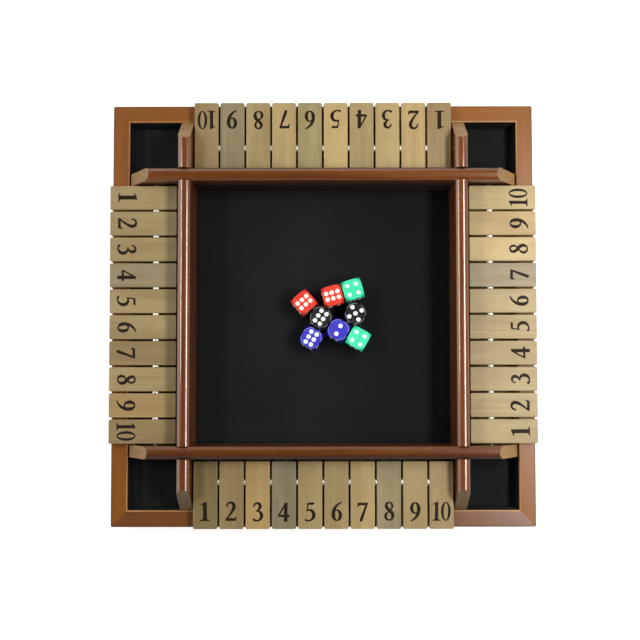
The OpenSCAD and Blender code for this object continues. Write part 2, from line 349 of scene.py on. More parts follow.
# stain of each tile, 1 to 10; the dark stains of north 1 and 10 and south 1 and 10, beside the rails, are partly the
# tiles' own tone and partly painted shade from the rails
TILE_STAIN = {
    "south": ["umber", "brown", "gold", "slate", "khaki", "khaki", "wheat", "grey", "khaki", "brown"],
    "east": ["khaki", "khaki", "khaki", "khaki", "khaki", "khaki", "grey", "straw", "gold", "wheat"],
    "north": ["brown", "straw", "wheat", "khaki", "straw", "olive", "wheat", "khaki", "grey", "brown"],
    "west": ["khaki", "khaki", "khaki", "grey", "khaki", "khaki", "brown", "khaki", "gold", "brown"],
}


def steel_material(name, light, dark, rough):
    m = Mat(name, Metallic=1.0)
    scratch = m.noise(m.coords((900, 900, 5000)), 1.0, 3, 0.6)
    dull = m.noise(m.coords((160, 160, 160)), 1.0, 3, 0.5)
    m.set("Base Color", m.mix(m.span(dull, 0.3, 0.7), light, dark))
    m.set("Roughness", m.span(scratch, 0.3, 0.7, *rough))
    m.set("Normal", m.bump(scratch, 0.00001, 0.5))
    return m


def felt_material(name, base, hi, seed, rail_shadow=None):
    m = Mat(name)
    fuzz = m.noise(m.coords((2600, 2600, 2600), (seed, 0, 0)), 1.0, 3, 0.7)
    clump = m.noise(m.coords((420, 420, 420), (0, seed, 0)), 1.0, 4, 0.6, 0.8)
    patch = m.noise(m.coords((22, 22, 22), (0, 0, seed)), 1.0, 3, 0.5)
    c = m.mix(m.span(patch, 0.3, 0.7), base, tuple(v * 1.2 for v in base))
    c = m.mix(m.math("MULTIPLY", m.span(fuzz, 0.45, 0.8), 0.5), c, hi)
    # painted shadow: the felt darkens towards +x, where the east rail's shadow falls
    if rail_shadow:
        c = m.mix(m.span(m.part(0), rail_shadow[0], rail_shadow[1], 0.0, rail_shadow[2]), c, tuple(v * 0.35 for v in base))
    m.set("Base Color", c)
    m.set("Roughness", m.span(clump, 0.3, 0.7, 0.88, 1.0))
    m.set("Specular IOR Level", 0.08)
    m.set("Sheen Weight", 0.03)
    m.set("Sheen Roughness", 0.5)
    m.set("Sheen Tint", (0.55, 0.6, 0.68))
    n = m.bump(fuzz, 0.00012, 0.8)
    m.set("Normal", m.bump(clump, 0.00025, 0.6, n))
    return m


def ink_material():
    m = Mat("number_ink")
    worn = m.noise(m.coords((900, 900, 900)), 1.0, 4, 0.65)
    m.set("Base Color", m.mix(m.math("MULTIPLY", m.span(worn, 0.50, 0.80), 0.55), (0.016, 0.009, 0.005), (0.055, 0.034, 0.018)))
    m.set("Roughness", m.span(worn, 0.3, 0.7, 0.50, 0.68))
    m.set("Specular IOR Level", 0.12)
    m.set("Normal", m.bump(worn, 0.00003, 0.5))
    return m


def acrylic(name, colour, edge, transmission=0.4, rough=(0.04, 0.09), sss=0.0):
    m = Mat(name)
    swirl = m.noise(m.coords((90, 90, 90)), 1.0, 3, 0.5, 0.6)
    scuff = m.noise(m.coords((1400, 1400, 1400)), 1.0, 3, 0.6)
    m.set("Base Color", m.mix(m.span(swirl, 0.3, 0.7), colour, edge))
    m.set("Roughness", m.span(scuff, 0.35, 0.75, *rough))
    m.set("IOR", 1.49)
    m.set("Transmission Weight", transmission)
    if sss:
        m.set("Subsurface Weight", sss)
        m.set("Subsurface Radius", (0.004, 0.004, 0.004))
        m.set("Subsurface Scale", 0.6)
    m.set("Normal", m.bump(scuff, 0.000008, 0.4))
    return m


def pip_material(name, light, dark):
    m = Mat(name)
    n = m.noise(m.coords((1600, 1600, 1600)), 1.0, 3, 0.6)
    m.set("Base Color", m.mix(m.span(n, 0.4, 0.75), light, dark))
    m.set("Roughness", m.span(n, 0.3, 0.7, 0.35, 0.5))
    m.set("Normal", m.bump(n, 0.00002, 0.5))
    return m


steel = steel_material("bright_steel", (0.86, 0.84, 0.79), (0.72, 0.70, 0.65), (0.40, 0.54))
dark_steel = steel_material("dark_steel", (0.16, 0.14, 0.12), (0.09, 0.08, 0.07), (0.38, 0.55))
felt = felt_material("black_felt", (0.0102, 0.0108, 0.0114), (0.0235, 0.0250, 0.0262), 3.0)
# the tray's felt, with a painted shadow of the east rail darkening it towards +x
felt_tray = felt_material("black_felt_tray", (0.0098, 0.0106, 0.0114), (0.0225, 0.0240, 0.0255), 3.0, (-0.02, 0.06, 0.48))
felt_wall = felt_material("black_felt_wall", (0.0050, 0.0052, 0.0056), (0.0110, 0.0116, 0.0124), 5.0)
# the felt of the two west pockets: a lighter copy, painted light where the rails' shade falls on them
felt_west_lit = felt_material("black_felt_west", (0.0150, 0.0156, 0.0160), (0.033, 0.0345, 0.0355), 4.0)
foot_felt = felt_material("foot_felt", (0.02, 0.02, 0.02), (0.05, 0.05, 0.05), 9.0)
ink = ink_material()
# each die: flat sides, pips, round corners in a darker colour that paints shade, and a lighter band round the top and
# bottom faces that paints a highlight
ACRYLICS = {
    "red": (acrylic("red_acrylic", (0.80, 0.050, 0.036), (0.88, 0.080, 0.058), 0.15),
            pip_material("pip_on_red", (0.92, 0.86, 0.76), (0.86, 0.74, 0.62)),
            acrylic("red_corner_shaded", (0.70, 0.022, 0.014), (0.80, 0.040, 0.026), 0.25),
            acrylic("red_rim_highlight", (0.86, 0.11, 0.080), (0.90, 0.15, 0.105), 0.0)),
    "green": (acrylic("green_acrylic", (0.065, 0.80, 0.42), (0.090, 0.88, 0.50), 0.15),
              pip_material("pip_on_green", (0.66, 0.93, 0.86), (0.52, 0.90, 0.78)),
              acrylic("green_corner_shaded", (0.030, 0.66, 0.33), (0.050, 0.78, 0.42), 0.25),
              acrylic("green_rim_highlight", (0.13, 0.86, 0.54), (0.17, 0.90, 0.60), 0.0)),
    "blue": (acrylic("blue_acrylic", (0.058, 0.056, 0.57), (0.080, 0.078, 0.66), 0.2),
             pip_material("pip_on_blue", (0.86, 0.87, 0.92), (0.76, 0.78, 0.88)),
             acrylic("blue_corner_shaded", (0.010, 0.008, 0.24), (0.018, 0.015, 0.34), 0.35),
             acrylic("blue_rim_highlight", (0.33, 0.36, 0.82), (0.42, 0.45, 0.85), 0.0)),
    "black": (acrylic("black_acrylic", (0.020, 0.022, 0.023), (0.032, 0.035, 0.036), 0.2),
              pip_material("pip_on_black", (0.86, 0.86, 0.85), (0.76, 0.76, 0.75)),
              acrylic("black_corner_shaded", (0.006, 0.007, 0.008), (0.010, 0.011, 0.012), 0.35),
              acrylic("black_rim_highlight", (0.25, 0.27, 0.27), (0.32, 0.34, 0.34), 0.0)),
}

# ---------------------------------------------------------------- frame, rails, base, rods
def off_mitre(e):
    return not any(all(abs(v.co.x - k * v.co.y) < 5e-6 for v in e.verts) for k in (1, -1))


def frame_zone(f):
    """1 on the rounded edge round the pockets, 2 on the rounded outer edge, 3 on the sides, 0 on top."""
    at = f.calc_center_median()
    if f.normal.z <= 0.22:
        return 3
    if not 0.22 < f.normal.z < 0.985 or at.z < 0.0185:
        return 0
    return 1 if max(abs(at.x), abs(at.y)) < 0.1425 else 2


for side in SIDES:
    a = "x" if side in ("south", "north") else "y"
    eased_copy(f"frame_{side}", f"frame_{side}_eased", "board", "frame_wood",
               [{"south": front_shaded_mat, "west": left_shaded_mat}.get(side, frame_mats[a]), frame_edge_worn_lit[a], frame_rim_shade[a], frame_mats[a]], 0.4, 3,
               over=50, face_index=frame_zone, keep=off_mitre)

for side in SIDES:
    a = "x" if side in ("south", "north") else "y"
    k = 0 if a == "x" else 1

    # cut ends go to slot 1; the south-facing ends of the north-south rails go to slot 2, whose darker colour is painted
    # shade
    def which(f, k=k):
        if abs(f.normal[k]) > 0.3 and f.normal[2] > 0.3 and f.calc_center_median()[2] > 0.0193:
            return 2 if k == 1 and f.normal[1] < 0 else 1
        return 0

    eased_copy(f"rail_{side}", f"rail_{side}_eased", "board", "rail_wood",
               [rail_front_shaded if side == "south" else rail_mats.get(side, rail_mats[a]), rail_cut[a], rail_cut_south_shaded], 0.3, 3,
               over=33, face_index=which)


def is_washer(f):
    return 1 if max(math.hypot(max(abs(v.co.x), abs(v.co.y)) - 0.12, v.co.z - 0.02245) for v in f.verts) > 0.00153 else 0


eased_copy("rods_and_washers", "rods_and_washers_eased", "board", "bright_steel", [dark_steel, steel], 0.12, 2, over=50,
           face_index=is_washer)
base = NODES["base_panel"]
base.data.materials.clear()
base.data.materials.append(base_mat.m)


# ---------------------------------------------------------------- felt linings and pads
def felt_slab(name, x0, x1, y0, y1, z0, z1, cell, seed, lump=0.09):
    """A closed thin slab with a softly uneven top and rounded rim, all in mm."""
    nx, ny = max(6, int((x1 - x0) / cell)), max(6, int((y1 - y0) / cell))
    xs, ys = np.linspace(x0, x1, nx + 1), np.linspace(y0, y1, ny + 1)
    X, Y = np.meshgrid(xs, ys, indexing="ij")
    h = value_noise(X + 400, Y + 400, 2.3, seed) * 0.5 + value_noise(X + 400, Y + 400, 5.7, seed + 1) * 0.3 \
        + value_noise(X + 400, Y + 400, 21.0, seed + 2) * 0.2
    rim = np.minimum(np.minimum(X - x0, x1 - X), np.minimum(Y - y0, y1 - Y))
    Z = z1 - lump + lump * h - 0.35 * np.clip(1 - rim / 1.2, 0, 1) ** 2
    verts = [(x * MM, y * MM, z * MM) for x, y, z in zip(X.ravel(), Y.ravel(), Z.ravel())]
    w = ny + 1
    faces = [(i * w + j, (i + 1) * w + j, (i + 1) * w + j + 1, i * w + j + 1) for i in range(nx) for j in range(ny)]
    ring = [i * w for i in range(nx)] + [nx * w + j for j in range(ny)] + [i * w + ny for i in range(nx, 0, -1)] + [j for j in range(ny, 0, -1)]
    base = len(verts)
    for r in ring:
        x, y, _ = verts[r]
        verts.append((x, y, z0 * MM))
    n = len(ring)
    faces += [(ring[(k + 1) % n], ring[k], base + k, base + (k + 1) % n) for k in range(n)]
    faces.append(tuple(base + k for k in range(n - 1, -1, -1)))
    me = bpy.data.meshes.new(name)
    me.from_pydata(verts, [], faces)
    me.update()
    return me


def wall_strip(name, length, height, seed):
    """A thin felt strip that stands on its long edge, from the origin along X, its face towards -Y."""
    me = felt_slab(name, 0, length, 0, height, 0, 0.5, 0.7, seed, lump=0.06)
    me.transform(Matrix.Rotation(math.radians(90), 4, "X"))
    return me


def joined(name, meshes):
    bm = bmesh.new()
    for me in meshes:
        bm.from_mesh(me)
        bpy.data.meshes.remove(me)
    out = bpy.data.meshes.new(name)
    bm.to_mesh(out)
    bm.free()
    return out


t = RAIL_OFF - RAIL_W / 2 - 0.1
q0 = RAIL_OFF + RAIL_W / 2 + 0.1
q1 = INNER - 0.1
WALL_H = 10.4
linings = [new_object("felt_tray", felt_slab("felt_tray", -t, t, -t, t, Z_FLOOR, Z_FELT, 1.6, 11), "board", "black_felt", felt_tray)]
for k, label in enumerate(("north_east", "north_west", "south_west", "south_east")):
    seed = 31 + 5 * k
    span_q = q1 - q0 - 0.04
    turn_k = Matrix.Rotation(math.radians(90 * k), 4, "Z")
    me = felt_slab(f"felt_{label}", q0, q1, q0, q1, Z_FLOOR, Z_FELT, 0.9, seed)
    me.transform(turn_k)
    o = new_object(f"felt_{label}", me, "board", "black_felt", felt_west_lit if "west" in label else felt)
    linings.append(o)
    # a strip round the walls: four lengths, each standing against one wall of the pocket, its face inwards
    parts = []
    for w, (x, y, turn) in enumerate(((q0, q1, 0), (q0, q0, 90), (q1, q0, 180), (q1, q1, 270))):
        strip = wall_strip("strip", span_q, WALL_H, seed + 100 + w)
        strip.transform(Matrix.Translation((x * MM, y * MM, (Z_FELT + 0.02) * MM)) @ Matrix.Rotation(math.radians(turn), 4, "Z")
                        @ Matrix.Translation((0.02 * MM, 0, 0)))
        parts.append(strip)
    me = joined(f"felt_wall_{label}", parts)
    me.transform(turn_k)
    o = new_object(f"felt_wall_{label}", me, "board", "black_felt", felt_wall)
    linings.append(o)
for o in linings:
    finish_mesh(o, 50, weighted=False)
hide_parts("felt_linings")


def foot_pad(name, cx, cy, seed):
    """A flattened felt disc with a soft edge."""
    rings = [(0.0, 1.5), (3.0, 1.5), (5.4, 1.5), (6.6, 1.5), (7.0, 1.42), (7.0, 1.0), (6.98, 0.45), (6.8, 0.16), (6.4, 0.02), (5.0, 0.0), (2.6, 0.0), (0.0, 0.0)]
    seg = 48
    bm = bmesh.new()
    rows = []
    rng = random.Random(seed)
    for r, z in rings:
        if r == 0:
            rows.append([bm.verts.new((cx * MM, cy * MM, z * MM))])
            continue
        wob = [rng.uniform(-0.05, 0.0) for _ in range(seg)] if 0.1 < z < 1.45 else [0.0] * seg
        rows.append([bm.verts.new(((cx + (r + wob[s]) * math.cos(2 * math.pi * s / seg)) * MM,
                                   (cy + (r + wob[s]) * math.sin(2 * math.pi * s / seg)) * MM, z * MM)) for s in range(seg)])
    for a, b in zip(rows, rows[1:]):
        for s in range(seg):
            s2 = (s + 1) % seg
            if len(a) == 1:
                bm.faces.new((a[0], b[s], b[s2]))
            elif len(b) == 1:
                bm.faces.new((a[s], b[0], a[s2]))
            else:
                bm.faces.new((a[s], b[s], b[s2], a[s2]))
    bmesh.ops.recalc_face_normals(bm, faces=bm.faces)
    me = bpy.data.meshes.new(name)
    bm.to_mesh(me)
    bm.free()
    return me


for k, (sx, sy) in enumerate(((1, 1), (1, -1), (-1, -1), (-1, 1))):
    o = new_object(f"foot_pad_{k + 1}", foot_pad(f"foot_pad_{k + 1}", 134 * sx, 134 * sy, 70 + k), "board", "foot_felt", foot_felt)
    finish_mesh(o, 60, weighted=False)
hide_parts("foot_pads")


# ---------------------------------------------------------------- numbers
def smooth_line(points, steps=14):
    """Catmull-Rom through points of (x, y, width)."""
    p = np.array([points[0]] + list(points) + [points[-1]], float)
    out = []
    for i in range(1, len(p) - 2):
        for s in np.linspace(0, 1, steps, endpoint=False):
            a, b, c, d = p[i - 1], p[i], p[i + 1], p[i + 2]
            out.append(0.5 * (2 * b + (c - a) * s + (2 * a - 5 * b + 4 * c - d) * s ** 2 + (3 * b - a - 3 * c + d) * s ** 3))
    out.append(p[-2])
    return np.array(out)


def stroke_field(X, Y, points):
    line = smooth_line(points)
    f = np.full(X.shape, 9.0)
    for a, b in zip(line, line[1:]):
        d = b[:2] - a[:2]
        l2 = max(float(d @ d), 1e-12)
        s = np.clip(((X - a[0]) * d[0] + (Y - a[1]) * d[1]) / l2, 0, 1)
        dist = np.hypot(X - a[0] - s * d[0], Y - a[1] - s * d[1]) - (a[2] + s * (b[2] - a[2])) / 2
        f = np.minimum(f, dist)
    return f


def polygon_field(X, Y, pts):
    inside = np.zeros(X.shape, bool)
    f = np.full(X.shape, 9.0)
    n = len(pts)
    for k in range(n):
        (ax, ay), (bx, by) = pts[k], pts[(k + 1) % n]
        dx, dy = bx - ax, by - ay
        s = np.clip(((X - ax) * dx + (Y - ay) * dy) / (dx * dx + dy * dy), 0, 1)
        f = np.minimum(f, np.hypot(X - ax - s * dx, Y - ay - s * dy))
        cross = ((ay > Y) != (by > Y)) & (X < (bx - ax) * (Y - ay) / ((by - ay) if by != ay else 1e-9) + ax)
        inside ^= cross
    return np.where(inside, -f, f)


def ellipse_field(X, Y, cx, cy, rx, ry):
    k = np.hypot((X - cx) / rx, (Y - cy) / ry)
    g = np.hypot((X - cx) / rx ** 2, (Y - cy) / ry ** 2)
    return k * (k - 1) / np.maximum(g, 1e-6)


SIX = [(0.52, 0.975, 0.045), (0.36, 0.89, 0.085), (0.19, 0.70, 0.135), (0.105, 0.45, 0.165), (0.115, 0.22, 0.165), (0.185, 0.075, 0.10),
       (0.295, 0.028, 0.055), (0.42, 0.09, 0.11), (0.475, 0.28, 0.165), (0.435, 0.47, 0.125), (0.33, 0.565, 0.07), (0.22, 0.545, 0.055), (0.13, 0.46, 0.05)]
GLYPHS = {
    "0": ([], []),
    "1": ([], [[(0.165, 0.03), (0.36, 0.03), (0.36, 1.0), (0.315, 1.0), (0.03, 0.875), (0.035, 0.84), (0.11, 0.862), (0.15, 0.852), (0.165, 0.81)],
               [(0.02, 0.0), (0.505, 0.0), (0.505, 0.034), (0.41, 0.055), (0.37, 0.085), (0.36, 0.16), (0.165, 0.16), (0.155, 0.085), (0.115, 0.055), (0.02, 0.034)]]),
    "2": ([[(0.065, 0.745, 0.06), (0.085, 0.83, 0.07), (0.16, 0.93, 0.085), (0.28, 0.965, 0.10), (0.41, 0.90, 0.15), (0.455, 0.755, 0.165), (0.42, 0.62, 0.145),
            (0.31, 0.42, 0.10), (0.17, 0.22, 0.075), (0.05, 0.075, 0.065)]],
          [[(0.015, 0.0), (0.535, 0.0), (0.60, 0.215), (0.565, 0.222), (0.515, 0.150), (0.455, 0.128), (0.155, 0.125), (0.015, 0.04)]]),
    "3": ([[(0.075, 0.785, 0.055), (0.11, 0.88, 0.07), (0.225, 0.965, 0.085), (0.36, 0.925, 0.13), (0.415, 0.80, 0.155), (0.37, 0.665, 0.11), (0.27, 0.575, 0.06), (0.20, 0.545, 0.045)],
           [(0.20, 0.545, 0.045), (0.32, 0.535, 0.07), (0.44, 0.455, 0.13), (0.485, 0.30, 0.165), (0.435, 0.135, 0.13), (0.31, 0.045, 0.075), (0.17, 0.035, 0.075), (0.075, 0.085, 0.12)]], []),
    "4": ([[(0.395, 0.955, 0.07), (0.22, 0.64, 0.062), (0.045, 0.325, 0.065)]],
          [[(0.02, 0.245), (0.60, 0.245), (0.60, 0.355), (0.02, 0.345)],
           [(0.33, 0.03), (0.37, 0.0), (0.465, 0.0), (0.50, 0.03), (0.50, 1.0), (0.42, 1.0), (0.33, 0.86)]]),
    "5": ([[(0.165, 0.93, 0.06), (0.14, 0.76, 0.052), (0.115, 0.575, 0.05)],
           [(0.115, 0.555, 0.055), (0.22, 0.60, 0.085), (0.36, 0.565, 0.125), (0.465, 0.43, 0.16), (0.465, 0.25, 0.155), (0.375, 0.105, 0.10), (0.24, 0.035, 0.065), (0.13, 0.03, 0.065), (0.055, 0.07, 0.10)]],
          [[(0.14, 0.885), (0.43, 0.885), (0.47, 0.90), (0.505, 1.0), (0.47, 0.995), (0.16, 0.985)]]),
    "6": ([SIX], []),
    "7": ([[(0.525, 0.94, 0.075), (0.44, 0.72, 0.095), (0.345, 0.46, 0.12), (0.26, 0.22, 0.14), (0.20, 0.06, 0.135)]],
          [[(0.015, 0.765), (0.05, 0.765), (0.10, 0.845), (0.15, 0.862), (0.46, 0.862), (0.575, 0.985), (0.04, 0.985)]]),
    "8": ([[(0.30, 0.968, 0.055), (0.175, 0.915, 0.10), (0.125, 0.785, 0.135), (0.185, 0.645, 0.15), (0.31, 0.53, 0.155), (0.43, 0.40, 0.165), (0.475, 0.24, 0.15),
            (0.415, 0.085, 0.085), (0.29, 0.03, 0.055), (0.155, 0.075, 0.09), (0.09, 0.205, 0.13), (0.125, 0.35, 0.10), (0.225, 0.465, 0.06),
            (0.345, 0.565, 0.055), (0.435, 0.68, 0.085), (0.445, 0.815, 0.10), (0.395, 0.925, 0.075), (0.30, 0.968, 0.055)]], []),
    "9": ([[(0.57 - x, 1.0 - y, w) for x, y, w in SIX]], []),
}
GLYPH_W = {"0": 0.57, "1": 0.52, "2": 0.61, "3": 0.57, "4": 0.62, "5": 0.56, "6": 0.57, "7": 0.59, "8": 0.57, "9": 0.57}


def glyph_field(X, Y, d):
    if d == "0":
        return np.maximum(ellipse_field(X, Y, 0.285, 0.5, 0.275, 0.505), -ellipse_field(X, Y, 0.285, 0.5, 0.125, 0.445))
    strokes, polys = GLYPHS[d]
    f = np.full(X.shape, 9.0)
    for s in strokes:
        f = np.minimum(f, stroke_field(X, Y, s))
    for p in polys:
        f = np.minimum(f, polygon_field(X, Y, p))
    return f - 0.009


def contours(F, xs, ys):
    """Closed loops where the field F crosses zero."""
    nx, ny = F.shape
    F = np.where(np.abs(F) < 1e-9, 1e-9, F)
    nxt = {}
    points = {}

    def key(i, j, horizontal):
        k = (i, j, horizontal)
        if k not in points:
            if horizontal:
                a, b = F[i, j], F[i + 1, j]
                points[k] = (xs[i] + (xs[i + 1] - xs[i]) * a / (a - b), ys[j])
            else:
                a, b = F[i, j], F[i, j + 1]
                points[k] = (xs[i], ys[j] + (ys[j + 1] - ys[j]) * a / (a - b))
        return k

    for i in range(nx - 1):
        for j in range(ny - 1):
            s = [F[i, j] < 0, F[i + 1, j] < 0, F[i + 1, j + 1] < 0, F[i, j + 1] < 0]
            if all(s) or not any(s):
                continue
            e = [(i, j, True), (i + 1, j, False), (i, j + 1, True), (i, j, False)]
            # walk with the inside on the left
            cross = [k for k in range(4) if s[k] != s[(k + 1) % 4]]
            if len(cross) == 2:
                a, b = cross
                if s[a]:
                    a, b = b, a
                nxt[key(*e[b])] = key(*e[a])
            else:
                centre = (F[i, j] + F[i + 1, j] + F[i, j + 1] + F[i + 1, j + 1]) / 4 < 0
                for a in range(4):
                    if not s[a]:  # edge a goes from outside corner a to inside corner a + 1
                        b = (a - 1) % 4 if centre is False else (a + 1) % 4
                        nxt[key(*e[b])] = key(*e[a])
    loops = []
    left = set(nxt)
    while left:
        k = min(left)
        loop = []
        while k in left:
            left.discard(k)
            loop.append(points[k])
            k = nxt[k]
        if len(loop) > 8:
            loops.append(loop)
    return loops


def glyph_loops(text):
    """Loops of a number, 1 unit high, centred on x."""
    if text == "10":
        parts = [("1", 0.0, 0.80), ("0", 0.435, 0.94)]
    else:
        parts = [(text, 0.0, 1.0)]
    loops = []
    width = parts[-1][1] + GLYPH_W[parts[-1][0]] * parts[-1][2]
    for d, shift, sx in parts:
        xs, ys = np.arange(-0.03, GLYPH_W[d] + 0.05, 0.0105), np.arange(-0.04, 1.06, 0.0105)
        X, Y = np.meshgrid(xs, ys, indexing="ij")
        for loop in contours(glyph_field(X, Y, d), xs, ys):
            loops.append([(x * sx + shift - width / 2, y) for x, y in loop])
    return loops


GLYPH_CACHE = {str(n): glyph_loops(str(n)) for n in range(1, 11)}


def number_mesh(text, height, thick):
    """A flat printed number, height mm tall, thick mm deep, centred, standing on z = 0."""
    cu = bpy.data.curves.new("glyph", "CURVE")
    cu.dimensions = "2D"
    cu.fill_mode = "BOTH"
    cu.extrude = thick / 2 * MM
    for loop in GLYPH_CACHE[text]:
        sp = cu.splines.new("POLY")
        sp.points.add(len(loop) - 1)
        for p, (x, y) in zip(sp.points, loop):
            p.co = (x * height * MM, (y - 0.5) * height * MM, 0, 1)
        sp.use_cyclic_u = True
    ob = bpy.data.objects.new("glyph", cu)
    bpy.context.scene.collection.objects.link(ob)
    bpy.context.view_layer.update()
    me = bpy.data.meshes.new_from_object(ob.evaluated_get(bpy.context.evaluated_depsgraph_get()))
    bpy.data.objects.remove(ob)
    bpy.data.curves.remove(cu)
    bm = bmesh.new()
    bm.from_mesh(me)
    bmesh.ops.remove_doubles(bm, verts=bm.verts, dist=1e-7)
    bmesh.ops.recalc_face_normals(bm, faces=bm.faces)
    bm.to_mesh(me)
    bm.free()
    me.transform(Matrix.Translation((0, 0, thick / 2 * MM)))
    return me


rng = random.Random(2027)
tile_blank = eased_mesh("tile_south_01", "tile_blank", 0.22, 2, over=40)
number_blank = {str(n): number_mesh(str(n), 13.3, 0.05) for n in range(1, 11)}
for i, side in enumerate(SIDES):
    a = "y" if side in ("south", "north") else "x"
    turn = Matrix.Rotation(math.radians(90 * i), 4, "Z")
    for n in range(1, 11):
        node = f"tile_{side}_{n:02d}"
        me = tile_blank.copy()
        me.name = node + "_eased"
        me.transform(turn @ Matrix.Translation(((n - 1) * PITCH * MM, 0, 0)))
        shift = [rng.uniform(-3, 3) for _ in range(3)]
        me.attributes.new("grain_shift", "FLOAT_VECTOR", "POINT").data.foreach_set("vector", shift * len(me.vertices))
        o = new_object(node + "_eased", me, node, "tile_wood", tile_mats[TILE_STAIN[side][n - 1], a])
        finish_mesh(o)
        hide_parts(node)
        me = number_blank[str(n)].copy()
        me.name = f"number_{side}_{n:02d}"
        drop = -0.35 if n in (3, 4, 5, 7, 9) else 0.15
        me.transform(turn @ Matrix.Translation(((n - 5.5) * PITCH * MM + rng.uniform(-0.25, 0.25) * MM,
                                                (-140.4 + drop + rng.uniform(-0.15, 0.15)) * MM, (TILE_TOP - 0.02) * MM))
                     @ Matrix.Rotation(math.radians(rng.uniform(-0.9, 0.9)), 4, "Z"))
        new_object(f"number_{side}_{n:02d}", me, node, None, ink)

# ---------------------------------------------------------------- dice
PIP_R, PIP_D = 1.60, 0.45
PIPS = {
    1: [(0, 0)], 2: [(0, -3.15), (0, 3.15)], 3: [(-3.3, -3.3), (0, 0), (3.3, 3.3)],
    4: [(-3.25, -3.25), (-3.25, 3.25), (3.25, -3.25), (3.25, 3.25)],
    5: [(-3.5, -3.5), (-3.5, 3.5), (3.5, -3.5), (3.5, 3.5), (0, 0)],
    6: [(-4.15, -2.15), (0, -2.15), (4.15, -2.15), (-4.15, 2.15), (0, 2.15), (4.15, 2.15)],
}


def scoop(bm, centre, normal, ball_r, open_r):
    """A closed lens-shaped cutter: the cap of a ball that reaches open_r out, closed by a disc."""
    rings, seg = 9, 40
    reach = math.asin(min(1.0, open_r / ball_r))
    turn = Vector((0, 0, 1)).rotation_difference(normal).to_matrix()
    rows = []
    for k in range(rings + 1):
        t = reach * k / rings
        r, z = ball_r * math.sin(t), -ball_r * math.cos(t)
        if k == 0:
            rows.append([bm.verts.new((centre + turn @ Vector((0, 0, z))) * MM)])
        else:
            rows.append([bm.verts.new((centre + turn @ Vector((r * math.cos(2 * math.pi * j / seg), r * math.sin(2 * math.pi * j / seg), z))) * MM)
                         for j in range(seg)])
    for a, b in zip(rows, rows[1:]):
        for j in range(seg):
            j2 = (j + 1) % seg
            bm.faces.new((a[0], b[j2], b[j]) if len(a) == 1 else (a[j], a[j2], b[j2], b[j]))
    bm.faces.new(rows[-1])


def die_mesh(name, top, flip, face_r, rim):
    """A ball cut flat on six sides with its pips scooped out. Slots: 0 flat sides, 1 pips, 2 round corners, 3 a band of
    the ball next to the top and bottom faces, rim deep, for a painted highlight.
    """
    h = DIE_E / 2
    R = math.hypot(h, face_r)
    order = {6: (6, 1, 2, 5, 3, 4), 5: (5, 2, 1, 6, 3, 4), 4: (4, 3, 1, 6, 2, 5), 2: (2, 5, 1, 6, 3, 4)}[top]
    normals = [Vector(n) for n in ((0, 0, 1), (0, 0, -1), (1, 0, 0), (-1, 0, 0), (0, 1, 0), (0, -1, 0))]
    bm = bmesh.new()
    bmesh.ops.create_icosphere(bm, subdivisions=5, radius=R * MM)
    for nv in normals:
        geom = list(bm.verts) + list(bm.edges) + list(bm.faces)
        cut = bmesh.ops.bisect_plane(bm, geom=geom, dist=1e-7, plane_co=nv * h * MM, plane_no=nv, clear_outer=True)
        bmesh.ops.edgeloop_fill(bm, edges=[e for e in cut["geom_cut"] if isinstance(e, bmesh.types.BMEdge)])
    bmesh.ops.remove_doubles(bm, verts=bm.verts, dist=2e-6)
    bmesh.ops.recalc_face_normals(bm, faces=bm.faces)
    for f in bm.faces:
        f.material_index = 0 if max(abs(c) for c in f.normal) > 0.9999 else 2
    blank = bpy.data.meshes.new(name)
    bm.to_mesh(blank)
    bm.free()
    ball_r = (PIP_R ** 2 + PIP_D ** 2) / (2 * PIP_D)
    up = 0.35
    open_r = math.sqrt(ball_r ** 2 - (ball_r - PIP_D - up) ** 2)
    cb = bmesh.new()
    for nv, count in zip(normals, order):
        u = Vector((0, 0, 1)) if abs(nv.x) > 0.5 else Vector((1, 0, 0))
        w = nv.cross(u)
        for px, py in PIPS[count]:
            if flip and abs(nv.z) > 0.5:
                px, py = py, px
            scoop(cb, nv * (h + ball_r - PIP_D) + u * px + w * py, nv, ball_r, open_r)
    bmesh.ops.recalc_face_normals(cb, faces=cb.faces)
    cutter = bpy.data.meshes.new(name + "_cut")
    cb.to_mesh(cutter)
    cb.free()
    for m in CAST:
        blank.materials.append(m)
    cutter.materials.append(CAST[1])
    body, tool = bpy.data.objects.new("tmp_die", blank), bpy.data.objects.new("tmp_cut", cutter)
    for o in (body, tool):
        bpy.context.scene.collection.objects.link(o)
    bo = body.modifiers.new("scoop", "BOOLEAN")
    bo.operation, bo.solver, bo.material_mode, bo.object = "DIFFERENCE", "EXACT", "TRANSFER", tool
    bpy.context.view_layer.update()
    me = bpy.data.meshes.new_from_object(body.evaluated_get(bpy.context.evaluated_depsgraph_get()))
    for o in (body, tool):
        bpy.data.objects.remove(o)
    me.name = name
    bm = bmesh.new()
    bm.from_mesh(me)
    # slot 3: the band of the ball within rim of the top and bottom faces, which takes a lighter colour as a painted
    # highlight
    for nv in normals[:2]:
        ball = [f for f in bm.faces if f.material_index == 2]
        geom = ball + list(dict.fromkeys(e for f in ball for e in f.edges)) + list(dict.fromkeys(v for f in ball for v in f.verts))
        bmesh.ops.bisect_plane(bm, geom=geom, dist=1e-7, plane_co=nv * (h - rim) * MM, plane_no=nv)
    for f in bm.faces:
        if f.material_index == 2 and abs(f.calc_center_median().z) > (h - rim) * MM:
            f.material_index = 3
    bm.to_mesh(me)
    bm.free()
    return me


